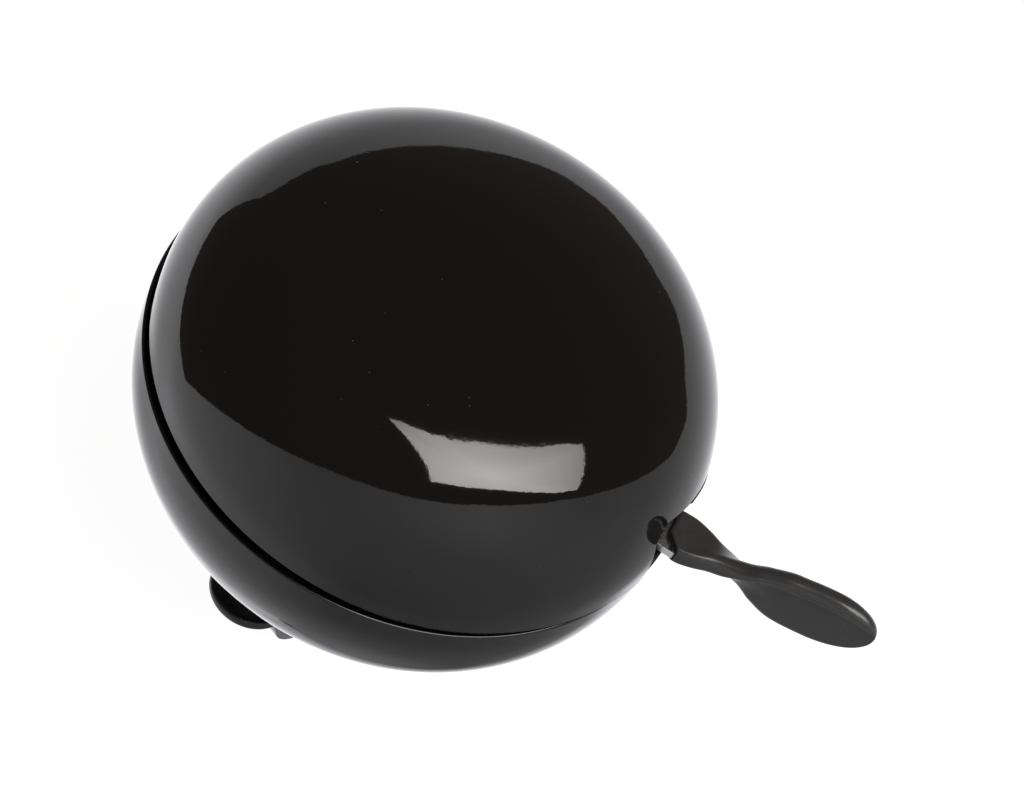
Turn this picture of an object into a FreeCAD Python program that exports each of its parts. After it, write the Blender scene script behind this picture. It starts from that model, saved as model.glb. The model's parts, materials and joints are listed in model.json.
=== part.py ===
"""Two-gong bicycle bell, 80 mm across, as a parametric document.

Row frame: the origin is the centre of the handlebar clamp's bore, +X runs along the handlebar and
+Z along the bell's axis.  The thumb lever and its mechanism are drawn in a frame of their own, whose
+X is the lever's direction, and are turned about +Z by lever_angle.
"""
import FreeCAD, Part
import math
import os
import re
import Sketcher

Vector = FreeCAD.Vector

DIMENSIONS = {
    # gongs
    "gong_radius": 40.0,
    "gong_wall": 1.2,
    "rim_band": 2.5,
    "rim_gap": 1.5,
    "upper_rim": 46.1,
    "upper_rise": 29.0,
    "upper_shoulder": 22.5,
    "lower_rise": 31.1,
    "lower_shoulder": 26.0,
    "gong_shift": 0.6,
    "seat_radius": 9.0,
    "gong_hole": 3.6,
    "lever_angle": 23.0,
    # notch in the upper gong's rim
    "notch_near": 10.8,
    "notch_far": 5.5,
    "notch_tall": 11.6,
    "notch_low": 8.0,
    "notch_corner": 2.4,
    # post and what it carries
    "flange_radius": 7.0,
    "flange_thick": 2.0,
    "fibre_thick": 1.0,
    "column_radius": 5.0,
    "journal_radius": 3.5,
    "thread_radius": 3.0,
    "post_top": 70.5,
    "screw_radius": 2.5,
    "screw_depth": 26.5,
    "bush_radius": 4.5,
    "bush_flange": 5.0,
    "washer_thick": 0.8,
    "striker_washer_radius": 6.5,
    "nut_height": 4.0,
    "nut_flats": 10.0,
    "jam_nut_base": 58.4,
    "boss_base": 62.5,
    "boss_radius": 6.0,
    "boss_flange": 8.0,
    "thread_play": 0.05,
    # mechanism
    "plate_radius": 26.0,
    "plate_thick": 1.5,
    "plate_drop": 2.5,
    "window_radius": 3.2,
    "window_place": 16.0,
    "pivot_place": 20.0,
    "lever_drop": 0.5,
    "arm_thick": 1.2,
    "arm_half": 3.4,
    "arm_near": 3.8,
    "arm_end": 40.7,
    "tongue_half": 2.2,
    "tongue_start": 38.2,
    "tongue_end": 45.5,
    "lever_hub": 4.6,
    "tail_half": 2.6,
    "drive_pin_place": 8.5,
    "drive_pin_radius": 1.25,
    "stud_radius": 2.0,
    "stud_top": 50.8,
    "running_play": 0.05,
    "striker_drop": 1.0,
    "striker_hub": 7.0,
    "crank_half": 3.5,
    "crank_end": 9.5,
    "slot_half": 1.65,
    "slot_start": 7.9,
    "slot_end": 9.75,
    "hammer_place": 31.0,
    "hammer_angle": 150.0,
    "hammer_arm_half": 3.0,
    "hammer_radius": 4.0,
    "hammer_length": 7.5,
    "rivet_radius": 1.25,
    "rivet_head": 2.4,
    "rivet_head_height": 0.8,
    "anvil_radius": 2.5,
    "anvil_step": 12.9,
    "striker_travel": 21.4,
    "spring_wire": 0.35,
    "spring_coil": 2.65,
    "spring_pitch": 0.8,
    "spring_turns": 2.75,
    "hook_along": 26.0,
    "hook_aside": 2.3,
    "small_post": 1.0,
    "buffer_radius": 2.0,
    "stop_along": 24.0,
    "stop_aside": 5.65,
    # handlebar clamp
    "bar_radius": 11.1,
    "liner_thick": 0.8,
    "band_thick": 1.5,
    "band_half": 4.5,
    "platform_radius": 8.5,
    "platform_rise": 0.1,
    "countersink": 1.3,
    "recess_radius": 1.5,
    "recess_depth": 1.2,
    "split_height": 3.2,
    "split_gap": 0.6,
    "ear_thick": 1.8,
    "ear_half": 6.4,
    "ear_round": 0.7,
    "ear_place": 16.9,
    "fork_place": 16.2,
    "fork_half": 4.6,
    "fork_slot": 2.3,
    "clamp_screw_radius": 2.0,
    "clamp_screw_tip": 9.1,
    "clamp_head_radius": 3.0,
    "clamp_head_height": 2.4,
    "clamp_nut_flats": 7.0,
    "clamp_nut_height": 2.4,
    "hinge_aside": 16.2,
    "knuckle_radius": 3.2,
    "knuckle_half": 1.6,
    "knuckle_play": 0.2,
    "knuckle_room": 3.5,
    "hinge_pin_radius": 1.5,
}

document = FreeCAD.newDocument("bicycle_bell")
sheet = document.addObject("Spreadsheet::Sheet", "Dims")
for row, (name, number) in enumerate(DIMENSIONS.items(), start=1):
    sheet.set(f"A{row}", name)
    sheet.set(f"B{row}", str(number))
    sheet.setAlias(f"B{row}", name)
document.recompute()

# Heights and lengths that follow from the driving dimensions, as expressions.
LOWER_RIM = "(upper_rim - rim_gap)"
PLATE_BASE = "(upper_rim - plate_drop)"
PLATE_TOP = "(upper_rim - plate_drop + plate_thick)"
ARM_BASE = "(upper_rim - lever_drop)"
ARM_TOP = "(upper_rim - lever_drop + arm_thick)"
STRIKER_BASE = "(upper_rim + striker_drop)"
STRIKER_TOP = "(upper_rim + striker_drop + arm_thick)"
BUSH_TOP = "(upper_rim + striker_drop + arm_thick + 0.3)"
NUT_BASE = f"({BUSH_TOP} + washer_thick)"
BAND_INNER = "(bar_radius + liner_thick)"
BAND_OUTER = "(bar_radius + liner_thick + band_thick)"
PLATFORM_TOP = "(bar_radius + liner_thick + band_thick + platform_rise)"
EAR_BASE = "(split_height + split_gap / 2)"
EAR_TOP = "(split_height + split_gap / 2 + ear_thick)"
FORK_TOP = "(split_height - split_gap / 2)"
FORK_BASE = "(split_height - split_gap / 2 - ear_thick)"
HINGE = ("hinge_aside", "split_height")

# Half length of a cutting tool that has to pass right through the clamp.
FAR = "30"

# Ears and webs start inside the band, where the bore trims them.
WEB_START = "(bar_radius + liner_thick - 1)"

nodes = {}


def bound(expression):
    """The expression with every dimension's name pointing at its cell."""
    return re.sub(r"[a-z][a-z_]+", lambda word: f"Dims.{word.group()}"
                  if word.group() in DIMENSIONS else word.group(), expression)


def value(expression):
    return float(sheet.evalExpression(bound(expression)))


def keep(piece, label):
    """Names a finished sub-part, which is written to a file of that name."""
    piece.Label = label
    nodes[label] = piece
    return piece


def turn(piece, angle="lever_angle"):
    """Turns a piece that was drawn in the lever's frame about the bell's axis."""
    piece.Placement = FreeCAD.Placement(Vector(0, 0, 0), FreeCAD.Rotation(Vector(0, 0, 1), 1))
    piece.setExpression("Placement.Rotation.Angle", bound(angle))
    return piece


# ---------------------------------------------------------------- sketches and bodies

def pin_point(sketch, geometry, position, x, y):
    """Ties one point of the sketch to its two coordinates."""
    for kind, expression, axis in (("DistanceX", x, -2), ("DistanceY", y, -1)):
        number = value(expression)
        if abs(number) < 1e-6:
            sketch.addConstraint(Sketcher.Constraint("PointOnObject", geometry, position, axis))
            continue
        if number > 0:
            constraint = Sketcher.Constraint(kind, -1, 1, geometry, position, number)
            signed = expression
        else:
            constraint = Sketcher.Constraint(kind, geometry, position, -1, 1, -number)
            signed = f"-({expression})"
        index = sketch.addConstraint(constraint)
        sketch.setExpression(f"Constraints[{index}]", bound(signed))


def tie_radius(sketch, geometry, radius):
    index = sketch.addConstraint(Sketcher.Constraint("Radius", geometry, value(radius)))
    sketch.setExpression(f"Constraints[{index}]", bound(radius))


def draw_circle(sketch, x, y, radius):
    centre = Vector(value(x), value(y), 0)
    circle = Part.Circle(centre, Vector(0, 0, 1), value(radius))
    geometry = sketch.addGeometry(circle, False)
    pin_point(sketch, geometry, 3, x, y)
    tie_radius(sketch, geometry, radius)


def arc_between(start, end, radius, turning):
    """The short arc from start to end; turning is 1 anticlockwise and -1 clockwise."""
    if turning < 0:
        start, end = end, start
    middle = (start + end) * 0.5
    chord = end - start
    rise = math.sqrt(max(radius ** 2 - (chord.Length / 2) ** 2, 0.0))
    left = Vector(-chord.y, chord.x, 0).normalize()
    centre = middle + left * rise
    first = math.atan2(start.y - centre.y, start.x - centre.x)
    last = math.atan2(end.y - centre.y, end.x - centre.x)
    return Part.ArcOfCircle(Part.Circle(centre, Vector(0, 0, 1), radius), first, last)


def draw_outline(sketch, corners):
    """Closes a loop through the corners: (x, y) ends a line, (x, y, radius, turning) an arc."""
    points = [Vector(value(corner[0]), value(corner[1]), 0) for corner in corners]
    ends = []
    for index, corner in enumerate(corners):
        start = points[index - 1]
        end = points[index]
        if len(corner) == 2:
            geometry = sketch.addGeometry(Part.LineSegment(start, end), False)
            ends.append((geometry, 1, 2))
            continue
        radius, turning = corner[2], corner[3]
        arc = arc_between(start, end, value(radius), turning)
        geometry = sketch.addGeometry(arc, False)
        tie_radius(sketch, geometry, radius)
        ends.append((geometry, 1, 2) if turning > 0 else (geometry, 2, 1))
    for index, corner in enumerate(corners):
        geometry, _, last = ends[index]
        after, first, _ = ends[(index + 1) % len(corners)]
        sketch.addConstraint(Sketcher.Constraint("Coincident", geometry, last, after, first))
        pin_point(sketch, geometry, last, corner[0], corner[1])


def stadium(start, end, half):
    """Outline of a bar along x with round ends centred on start and end."""
    return [
        (end, f"-({half})"),
        (f"{end} + {half}", "0", half, 1),
        (end, half, half, 1),
        (start, half),
        (f"{start} - {half}", "0", half, 1),
        (start, f"-({half})", half, 1),
    ]


def new_body(name):
    return document.addObject("PartDesign::Body", name)


def new_sketch(body, plane, outlines=(), circles=(), height=None, angle=None):
    """A sketch on one of the body's own planes, lifted by height and turned by angle."""
    sketch = body.newObject("Sketcher::SketchObject", f"{body.Name}_sketch")
    feature = [item for item in body.Origin.OriginFeatures if item.Role == plane][0]
    sketch.AttachmentSupport = [(feature, "")]
    sketch.MapMode = "FlatFace"
    if angle is not None:
        sketch.AttachmentOffset = FreeCAD.Placement(
            Vector(0, 0, 0), FreeCAD.Rotation(Vector(0, 0, 1), 1))
        sketch.setExpression("AttachmentOffset.Rotation.Angle", bound(angle))
    if height is not None:
        sketch.setExpression("AttachmentOffset.Base.z", bound(height))
    for outline in outlines:
        draw_outline(sketch, outline)
    for circle in circles:
        draw_circle(sketch, *circle)
    document.recompute()
    return sketch


def revolve(body, corners):
    """A full revolution about +Z of an outline in the XZ plane."""
    sketch = new_sketch(body, "XZ_Plane", [corners])
    feature = body.newObject("PartDesign::Revolution", f"{body.Name}_revolution")
    feature.Profile = sketch
    feature.ReferenceAxis = (sketch, ["V_Axis"])
    feature.Angle = 360
    document.recompute()
    return feature


def pad(body, height, thickness, outlines=(), circles=(), angle=None):
    sketch = new_sketch(body, "XY_Plane", outlines, circles, height, angle)
    feature = body.newObject("PartDesign::Pad", f"{body.Name}_pad")
    feature.Profile = sketch
    feature.setExpression("Length", bound(thickness))
    document.recompute()
    return feature


def cut_through(body, height, outlines=(), circles=(), angle=None):
    """A pocket downwards through the whole body, with a check that it removed something."""
    before = body.Shape.Volume
    sketch = new_sketch(body, "XY_Plane", outlines, circles, height, angle)
    feature = body.newObject("PartDesign::Pocket", f"{body.Name}_pocket")
    feature.Profile = sketch
    feature.Type = "ThroughAll"
    document.recompute()
    if body.Shape.Volume > before - 0.01:
        raise RuntimeError(f"{body.Name}: the pocket removed nothing")
    return feature


# ---------------------------------------------------------------- primitives and booleans

def cylinder(name, radius, base, top, x="0", y="0"):
    """An upright cylinder between two heights."""
    piece = document.addObject("Part::Cylinder", name)
    piece.setExpression("Radius", bound(radius))
    piece.setExpression("Height", bound(f"({top}) - ({base})"))
    piece.setExpression("Placement.Base.x", bound(x))
    piece.setExpression("Placement.Base.y", bound(y))
    piece.setExpression("Placement.Base.z", bound(base))
    return piece


def cross_cylinder(name, radius, start, end, y="0", z="0"):
    """A cylinder along +X between two places."""
    piece = document.addObject("Part::Cylinder", name)
    piece.Placement = FreeCAD.Placement(Vector(0, 0, 0), FreeCAD.Rotation(Vector(0, 1, 0), 90))
    piece.setExpression("Radius", bound(radius))
    piece.setExpression("Height", bound(f"({end}) - ({start})"))
    piece.setExpression("Placement.Base.x", bound(start))
    piece.setExpression("Placement.Base.y", bound(y))
    piece.setExpression("Placement.Base.z", bound(z))
    return piece


def block(name, low, high):
    """A box between two corners."""
    piece = document.addObject("Part::Box", name)
    for index, (size, axis) in enumerate((("Length", "x"), ("Width", "y"), ("Height", "z"))):
        piece.setExpression(size, bound(f"({high[index]}) - ({low[index]})"))
        piece.setExpression(f"Placement.Base.{axis}", bound(low[index]))
    return piece


def join(name, pieces):
    result = document.addObject("Part::MultiFuse", name)
    result.Shapes = pieces
    return result


def cut(name, base, tools):
    """The base without the tools."""
    result = document.addObject("Part::Cut", name)
    result.Base = base
    result.Tool = tools[0] if len(tools) == 1 else join(f"{name}_tools", tools)
    return result


def overlap(name, pieces):
    result = document.addObject("Part::MultiCommon", name)
    result.Shapes = pieces
    return result


def hex_nut(name, flats, bore, base, height, y="0"):
    """A hexagon nut with its bore along +Z."""
    prism = document.addObject("Part::Prism", f"{name}_prism")
    prism.Polygon = 6
    prism.setExpression("Circumradius", bound(f"{flats} / 2 / cos(30)"))
    prism.setExpression("Height", bound(height))
    prism.setExpression("Placement.Base.y", bound(y))
    prism.setExpression("Placement.Base.z", bound(base))
    dome = document.addObject("Part::Cone", f"{name}_corners")
    dome.setExpression("Radius1", bound(f"{flats} / 2 / cos(30) + {height}"))
    dome.setExpression("Radius2", bound(f"{flats} / 2 * 0.95"))
    dome.setExpression("Height", bound(height))
    dome.setExpression("Placement.Base.y", bound(y))
    dome.setExpression("Placement.Base.z", bound(base))
    rounded = overlap(f"{name}_rounded", [prism, dome])
    hole = cylinder(f"{name}_bore", bore, f"{base} - 1", f"{base} + {height} + 1", y=y)
    return cut(name, rounded, [hole])


def polar(radius, angle):
    """Coordinates of a place at a radius and at an angle from the lever's direction."""
    return (f"({radius}) * cos({angle} + lever_angle)", f"({radius}) * sin({angle} + lever_angle)")


# ---------------------------------------------------------------- gongs

def dome_outline(rise, shoulder, rim, up, hole):
    """Half section of a gong: rim band, shoulder arc, crown arc and the same again inside.

    up is 1 for a dome above its rim and -1 for one below it.  With a hole, the crown ends in a flat
    seat round it.
    """
    tall = f"({rise} - rim_band)"
    reach = f"(gong_radius - {shoulder})"
    crown = f"(({reach} ^ 2 + {tall} ^ 2 - {shoulder} ^ 2) / (2 * ({tall} - {shoulder})))"
    spread = f"({crown} - {shoulder})"
    inner_crown = f"({crown} - gong_wall)"
    inner_shoulder = f"({shoulder} - gong_wall)"

    def height(above):
        return f"{rim} + {up} * ({above})"

    def join_point(radius):
        lift = f"rim_band + {tall} - {crown} + {radius} * ({crown} - {tall}) / {spread}"
        return f"{radius} * {reach} / {spread}", height(lift)

    corners = [
        ("gong_radius - gong_wall", rim),
        ("gong_radius", rim),
        ("gong_radius", height("rim_band")),
        (*join_point(crown), shoulder, up),
    ]
    if hole:
        sag = f"({crown} - sqrt({crown} ^ 2 - seat_radius ^ 2))"
        seat_inside = f"sqrt({inner_crown} ^ 2 - ({crown} - {sag} - gong_wall) ^ 2)"
        corners += [
            ("seat_radius", height(f"{rise} - {sag}"), crown, up),
            (hole, height(f"{rise} - {sag}")),
            (hole, height(f"{rise} - {sag} - gong_wall")),
            (seat_inside, height(f"{rise} - {sag} - gong_wall")),
        ]
    else:
        corners += [
            ("0", height(rise), crown, up),
            ("0", height(f"{rise} - gong_wall")),
        ]
    corners += [
        (*join_point(inner_crown), inner_crown, -up),
        ("gong_radius - gong_wall", height("rim_band"), inner_shoulder, -up),
    ]
    return corners


def make_upper_gong():
    body = new_body("upper_gong_body")
    revolve(body, dome_outline("upper_rise", "upper_shoulder", "upper_rim", 1, None))
    before = body.Shape.Volume
    notch = new_sketch(body, "YZ_Plane", [[
        ("notch_far", "upper_rim - 1"),
        ("notch_far", "upper_rim + notch_low"),
        ("notch_corner - notch_near", "upper_rim + notch_tall"),
        ("-notch_near", "upper_rim + notch_tall - notch_corner", "notch_corner", 1),
        ("-notch_near", "upper_rim - 1"),
    ]])
    feature = body.newObject("PartDesign::Pocket", "upper_gong_notch")
    feature.Profile = notch
    feature.Type = "ThroughAll"
    feature.Reversed = True
    document.recompute()
    if body.Shape.Volume > before - 1:
        raise RuntimeError("the notch removed nothing")
    return keep(turn(body), "upper_gong")


def make_lower_gong():
    body = new_body("lower_gong_body")
    revolve(body, dome_outline("lower_rise", "lower_shoulder", LOWER_RIM, -1, "gong_hole"))
    turn(body)
    body.setExpression("Placement.Base.x", bound("-gong_shift * cos(lever_angle)"))
    body.setExpression("Placement.Base.y", bound("-gong_shift * sin(lever_angle)"))
    document.recompute()
    return keep(body, "lower_gong")


def make_gong_fittings(upper_gong, lower_gong):
    """Boss and anvils, each trimmed to the dome that it is brazed to."""
    boss = new_body("gong_boss_body")
    bore = "thread_radius + thread_play"
    top = "upper_rim + upper_rise - gong_wall / 2"
    revolve(boss, [
        (bore, "boss_base"),
        ("boss_radius", "boss_base"),
        ("boss_radius", f"{top} - 2.5"),
        ("boss_flange", f"{top} - 2.5"),
        ("boss_flange", top),
        ("0", top),
        ("0", "post_top + 1"),
        (bore, "post_top + 1"),
    ])
    keep(cut("gong_boss_trim", boss, [upper_gong]), "gong_boss")

    x, y = polar("hammer_place", "hammer_angle + striker_travel + anvil_step")
    pin = cylinder("upper_anvil_pin", "anvil_radius", "upper_rim - 1.5", "upper_rim + 17.5", x, y)
    keep(cut("upper_anvil_trim", pin, [upper_gong]), "upper_anvil")

    x, y = polar("hammer_place", "hammer_angle - anvil_step")
    pin = cylinder("lower_anvil_pin", "anvil_radius", f"{LOWER_RIM} - 18.8", f"{LOWER_RIM} - 2.5",
                   x, y)
    keep(cut("lower_anvil_trim", pin, [lower_gong]), "lower_anvil")


# ---------------------------------------------------------------- post

def lower_seat(wall):
    """Height of the lower gong's seat, outside with no wall and inside with one."""
    tall = "(lower_rise - rim_band)"
    reach = "(gong_radius - lower_shoulder)"
    crown = f"(({reach} ^ 2 + {tall} ^ 2 - lower_shoulder ^ 2) / (2 * ({tall} - lower_shoulder)))"
    sag = f"({crown} - sqrt({crown} ^ 2 - seat_radius ^ 2))"
    return f"({LOWER_RIM} - lower_rise + {sag} + {wall})"


def washer(label, outer, inner, base, top, x="0", y="0"):
    ring = cylinder(f"{label}_disc", outer, base, top, x, y)
    hole = cylinder(f"{label}_hole", inner, f"{base} - 1", f"{top} + 1", x, y)
    return keep(cut(f"{label}_ring", ring, [hole]), label)


def make_post():
    inside = lower_seat("gong_wall")
    post_base = f"({inside} + fibre_thick)"
    washer("gong_pad_outer", "platform_radius", "screw_radius", PLATFORM_TOP, lower_seat("0"))
    washer("gong_pad_inner", "flange_radius", "screw_radius", inside, post_base)

    post = new_body("centre_post_body")
    revolve(post, [
        ("screw_radius", post_base),
        ("flange_radius", post_base),
        ("flange_radius", f"{post_base} + flange_thick"),
        ("column_radius", f"{post_base} + flange_thick"),
        ("column_radius", PLATE_BASE),
        ("journal_radius", PLATE_BASE),
        ("journal_radius", BUSH_TOP),
        ("thread_radius", BUSH_TOP),
        ("thread_radius", "post_top - 0.6"),
        ("thread_radius - 0.6", "post_top"),
        ("0", "post_top"),
        ("0", "screw_depth + 1"),
        ("screw_radius", "screw_depth + 1"),
    ])
    keep(post, "centre_post")

    screw = new_body("post_screw_body")
    head_base = BAND_INNER
    revolve(screw, [
        ("recess_radius", head_base),
        ("screw_radius + countersink", head_base),
        ("screw_radius", f"{head_base} + countersink"),
        ("screw_radius", "screw_depth - 0.5"),
        ("screw_radius - 0.5", "screw_depth"),
        ("0", "screw_depth"),
        ("0", f"{head_base} + recess_depth"),
        ("recess_radius", f"{head_base} + recess_depth"),
    ])
    keep(screw, "post_screw")

    bush = new_body("striker_bush_body")
    revolve(bush, [
        ("journal_radius", PLATE_TOP),
        ("bush_flange", PLATE_TOP),
        ("bush_flange", f"{STRIKER_BASE} - 0.1"),
        ("bush_radius", f"{STRIKER_BASE} - 0.1"),
        ("bush_radius", BUSH_TOP),
        ("journal_radius", BUSH_TOP),
    ])
    keep(bush, "striker_bush")

    washer("striker_washer", "striker_washer_radius", "thread_radius", BUSH_TOP, NUT_BASE)
    keep(hex_nut("striker_nut_cut", "nut_flats", "thread_radius", NUT_BASE, "nut_height"),
         "striker_nut")
    keep(hex_nut("jam_nut_cut", "nut_flats", "thread_radius", "jam_nut_base", "nut_height"),
         "jam_nut")


# ---------------------------------------------------------------- mechanism

def make_plate():
    body = new_body("mechanism_plate_body")
    pad(body, PLATE_BASE, "plate_thick", circles=[
        ("0", "0", "plate_radius"),
        ("0", "0", "journal_radius"),
        ("pivot_place", "0", "stud_radius"),
        ("stop_along", "stop_aside", "small_post"),
    ])
    first = cut_through(body, PLATE_TOP, circles=[("window_place", "0", "window_radius")], angle="120")
    pattern = body.newObject("PartDesign::PolarPattern", "mechanism_plate_windows")
    pattern.Originals = [first]
    pattern.Axis = (first.Profile[0], ["N_Axis"])
    pattern.Angle = 120
    pattern.Occurrences = 3
    body.Tip = pattern
    document.recompute()
    keep(turn(body), "mechanism_plate")


def make_lever_arm():
    """Flat steel arm: tail with the drive pin, hub on the stud, and a tongue into the thumb lever."""
    body = new_body("lever_arm_body")
    tail_join = "pivot_place - sqrt(lever_hub ^ 2 - tail_half ^ 2)"
    near_join = "pivot_place + sqrt(lever_hub ^ 2 - arm_near ^ 2)"
    far_join = "pivot_place + sqrt(lever_hub ^ 2 - arm_half ^ 2)"
    pad(body, ARM_BASE, "arm_thick", outlines=[[
        (tail_join, "-tail_half"),
        (near_join, "-arm_near", "lever_hub", 1),
        ("arm_end", "-arm_near"),
        ("arm_end", "-tongue_half"),
        ("tongue_end", "-tongue_half"),
        ("tongue_end", "tongue_half"),
        ("tongue_start", "tongue_half"),
        ("tongue_start", "arm_half"),
        (far_join, "arm_half"),
        (tail_join, "tail_half", "lever_hub", 1),
        ("drive_pin_place", "tail_half"),
        ("drive_pin_place - tail_half", "0", "tail_half", 1),
        ("drive_pin_place", "-tail_half", "tail_half", 1),
    ]])
    cut_through(body, ARM_TOP, circles=[
        ("pivot_place", "0", "stud_radius + running_play"),
        ("drive_pin_place", "0", "drive_pin_radius"),
        ("hook_along", "hook_aside", "spring_wire + 0.1"),
    ])
    return keep(turn(body), "lever_arm")


def make_pins():
    """Pins and small posts of the mechanism, drawn in the lever's frame."""
    pin = new_body("drive_pin_body")
    pad(pin, ARM_BASE, f"{STRIKER_TOP} + 0.5 - ({ARM_BASE})",
        circles=[("drive_pin_place", "0", "drive_pin_radius")])
    keep(turn(pin), "drive_pin")

    stud = new_body("lever_stud_body")
    pad(stud, f"{PLATE_BASE} - 0.8", "0.8", circles=[("pivot_place", "0", "stud_radius + 1")])
    pad(stud, PLATE_BASE, f"stud_top - ({PLATE_BASE})", circles=[("pivot_place", "0", "stud_radius")])
    keep(turn(stud), "lever_stud")

    spacer = new_body("lever_washer_body")
    pad(spacer, PLATE_TOP, f"({ARM_BASE}) - ({PLATE_TOP})",
        circles=[("pivot_place", "0", "lever_hub - 0.6"), ("pivot_place", "0", "stud_radius")])
    keep(turn(spacer), "lever_washer")

    clip = new_body("lever_clip_body")
    pad(clip, "stud_top - 0.9", "0.6",
        circles=[("pivot_place", "0", "stud_radius + 1.6"), ("pivot_place", "0", "stud_radius")])
    cut_through(clip, "stud_top", outlines=[[
        ("pivot_place", "-1"),
        ("pivot_place + 5", "-1"),
        ("pivot_place + 5", "1"),
        ("pivot_place", "1"),
    ]])
    keep(turn(clip), "lever_clip")

    post = new_body("stop_post_body")
    place = ("stop_along", "stop_aside")
    pad(post, f"{PLATE_BASE} - 0.6", "0.6", circles=[(*place, "small_post + 0.6")])
    pad(post, PLATE_BASE, f"stud_top - ({PLATE_BASE})", circles=[(*place, "small_post")])
    pad(post, "stud_top", "0.5", circles=[(*place, "small_post + 0.6")])
    keep(turn(post), "stop_post")

    sleeve = new_body("stop_buffer_body")
    pad(sleeve, PLATE_TOP, f"{ARM_TOP} + 0.5 - ({PLATE_TOP})", circles=[
        ("stop_along", "stop_aside", "buffer_radius"),
        ("stop_along", "stop_aside", "small_post"),
    ])
    keep(turn(sleeve), "stop_buffer")


def make_striker():
    """Arm that turns on the bush, with the slot for the drive pin and the hammer at its far end."""
    body = new_body("striker_arm_body")
    pad(body, STRIKER_BASE, "arm_thick", circles=[("0", "0", "striker_hub")])
    pad(body, STRIKER_BASE, "arm_thick", outlines=[stadium("0", "crank_end", "crank_half")])
    pad(body, STRIKER_BASE, "arm_thick",
        outlines=[stadium("0", "hammer_place", "hammer_arm_half")], angle="hammer_angle")
    cut_through(body, STRIKER_TOP, circles=[("0", "0", "bush_radius + running_play")])
    cut_through(body, STRIKER_TOP, outlines=[stadium("slot_start", "slot_end", "slot_half")])
    cut_through(body, STRIKER_TOP, circles=[("hammer_place", "0", "rivet_radius")],
                angle="hammer_angle")
    keep(turn(body), "striker_arm")

    x, y = polar("hammer_place", "hammer_angle")
    weight = cylinder("hammer_blank", "hammer_radius", f"{STRIKER_BASE} - hammer_length",
                      STRIKER_BASE, x, y)
    hole = cylinder("hammer_hole", "rivet_radius", f"{STRIKER_BASE} - hammer_length - 1",
                    f"{STRIKER_BASE} + 1", x, y)
    keep(cut("hammer_cut", weight, [hole]), "striker_hammer")

    shank = cylinder("rivet_shank", "rivet_radius", f"{STRIKER_BASE} - hammer_length", STRIKER_TOP,
                     x, y)
    top = cylinder("rivet_top", "rivet_head", STRIKER_TOP, f"{STRIKER_TOP} + rivet_head_height", x, y)
    foot = cylinder("rivet_foot", "rivet_head", f"{STRIKER_BASE} - hammer_length - rivet_head_height",
                    f"{STRIKER_BASE} - hammer_length", x, y)
    keep(join("rivet_joined", [shank, top, foot]), "hammer_rivet")


def wire_run(points, radius):
    """A straight-sided wire through the points, with balls at its corners."""
    pieces = []
    for start, end in zip(points, points[1:]):
        pieces.append(Part.makeCylinder(radius, (end - start).Length, start, end - start))
    for corner in points[1:-1]:
        pieces.append(Part.makeSphere(radius, corner))
    return pieces


def make_return_spring():
    """Torsion spring round the stud: one leg hooks into the arm, the other bears on the stop post."""
    wire = value("spring_wire")
    coil = value("spring_coil")
    pitch = value("spring_pitch")
    turns = value("spring_turns")
    base = value(ARM_TOP) + 0.1 + wire
    pivot = Vector(value("pivot_place"), 0, base)
    # The helix starts at +Y, where its leg comes in along -X, and ends at +X, heading for +Y.
    length = turns * pitch
    path = Part.makeHelix(pitch, length, coil)
    path.rotate(Vector(0, 0, 0), Vector(0, 0, 1), 90)
    path.translate(pivot)
    start = pivot + Vector(0, coil, 0)
    section = Part.Wire(Part.makeCircle(wire, start, Vector(1, 0, 0)))
    helix = Part.Wire(path.Edges).makePipeShell([section], True, True)
    along, aside = value("hook_along"), value("hook_aside")
    hook = [
        start,
        Vector(along - 1, coil, base),
        Vector(along, aside, base),
        Vector(along, aside, value(ARM_BASE) + 0.2),
    ]
    end = pivot + Vector(coil, 0, length)
    leg = [end, end + Vector(0, value("stop_aside") + 1.5, 0)]
    solid = helix.fuse(wire_run(hook, wire) + wire_run(leg, wire)).removeSplitter()
    piece = document.addObject("Part::Feature", "return_spring_shape")
    piece.Shape = solid
    keep(turn(piece), "return_spring")


def rounded_section(along, aside, half, centre, thick, twist):
    """One cross-section of the thumb lever: a rounded bar turned by the twist about its own middle."""
    corner = thick * 0.42
    wide, tall = half, thick / 2
    # Each arc's middle stands off its corner's centre by the corner radius at 45 degrees.
    mid = corner * (1 - math.sqrt(0.5))
    points = [
        (wide - corner, -tall), (wide - mid, mid - tall), (wide, corner - tall),
        (wide, tall - corner), (wide - mid, tall - mid), (wide - corner, tall),
        (corner - wide, tall), (mid - wide, tall - mid), (-wide, tall - corner),
        (-wide, corner - tall), (mid - wide, mid - tall), (corner - wide, -tall),
    ]
    cosine, sine = math.cos(math.radians(twist)), math.sin(math.radians(twist))
    placed = [Vector(along, aside + across * cosine + up * sine, centre - across * sine + up * cosine)
              for across, up in points]
    edges = []
    for index in range(0, 12, 3):
        first, middle, last = placed[index:index + 3]
        edges.append(Part.Arc(first, middle, last).toShape())
        edges.append(Part.LineSegment(last, placed[(index + 3) % 12]).toShape())
    return Part.Wire(edges)


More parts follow.
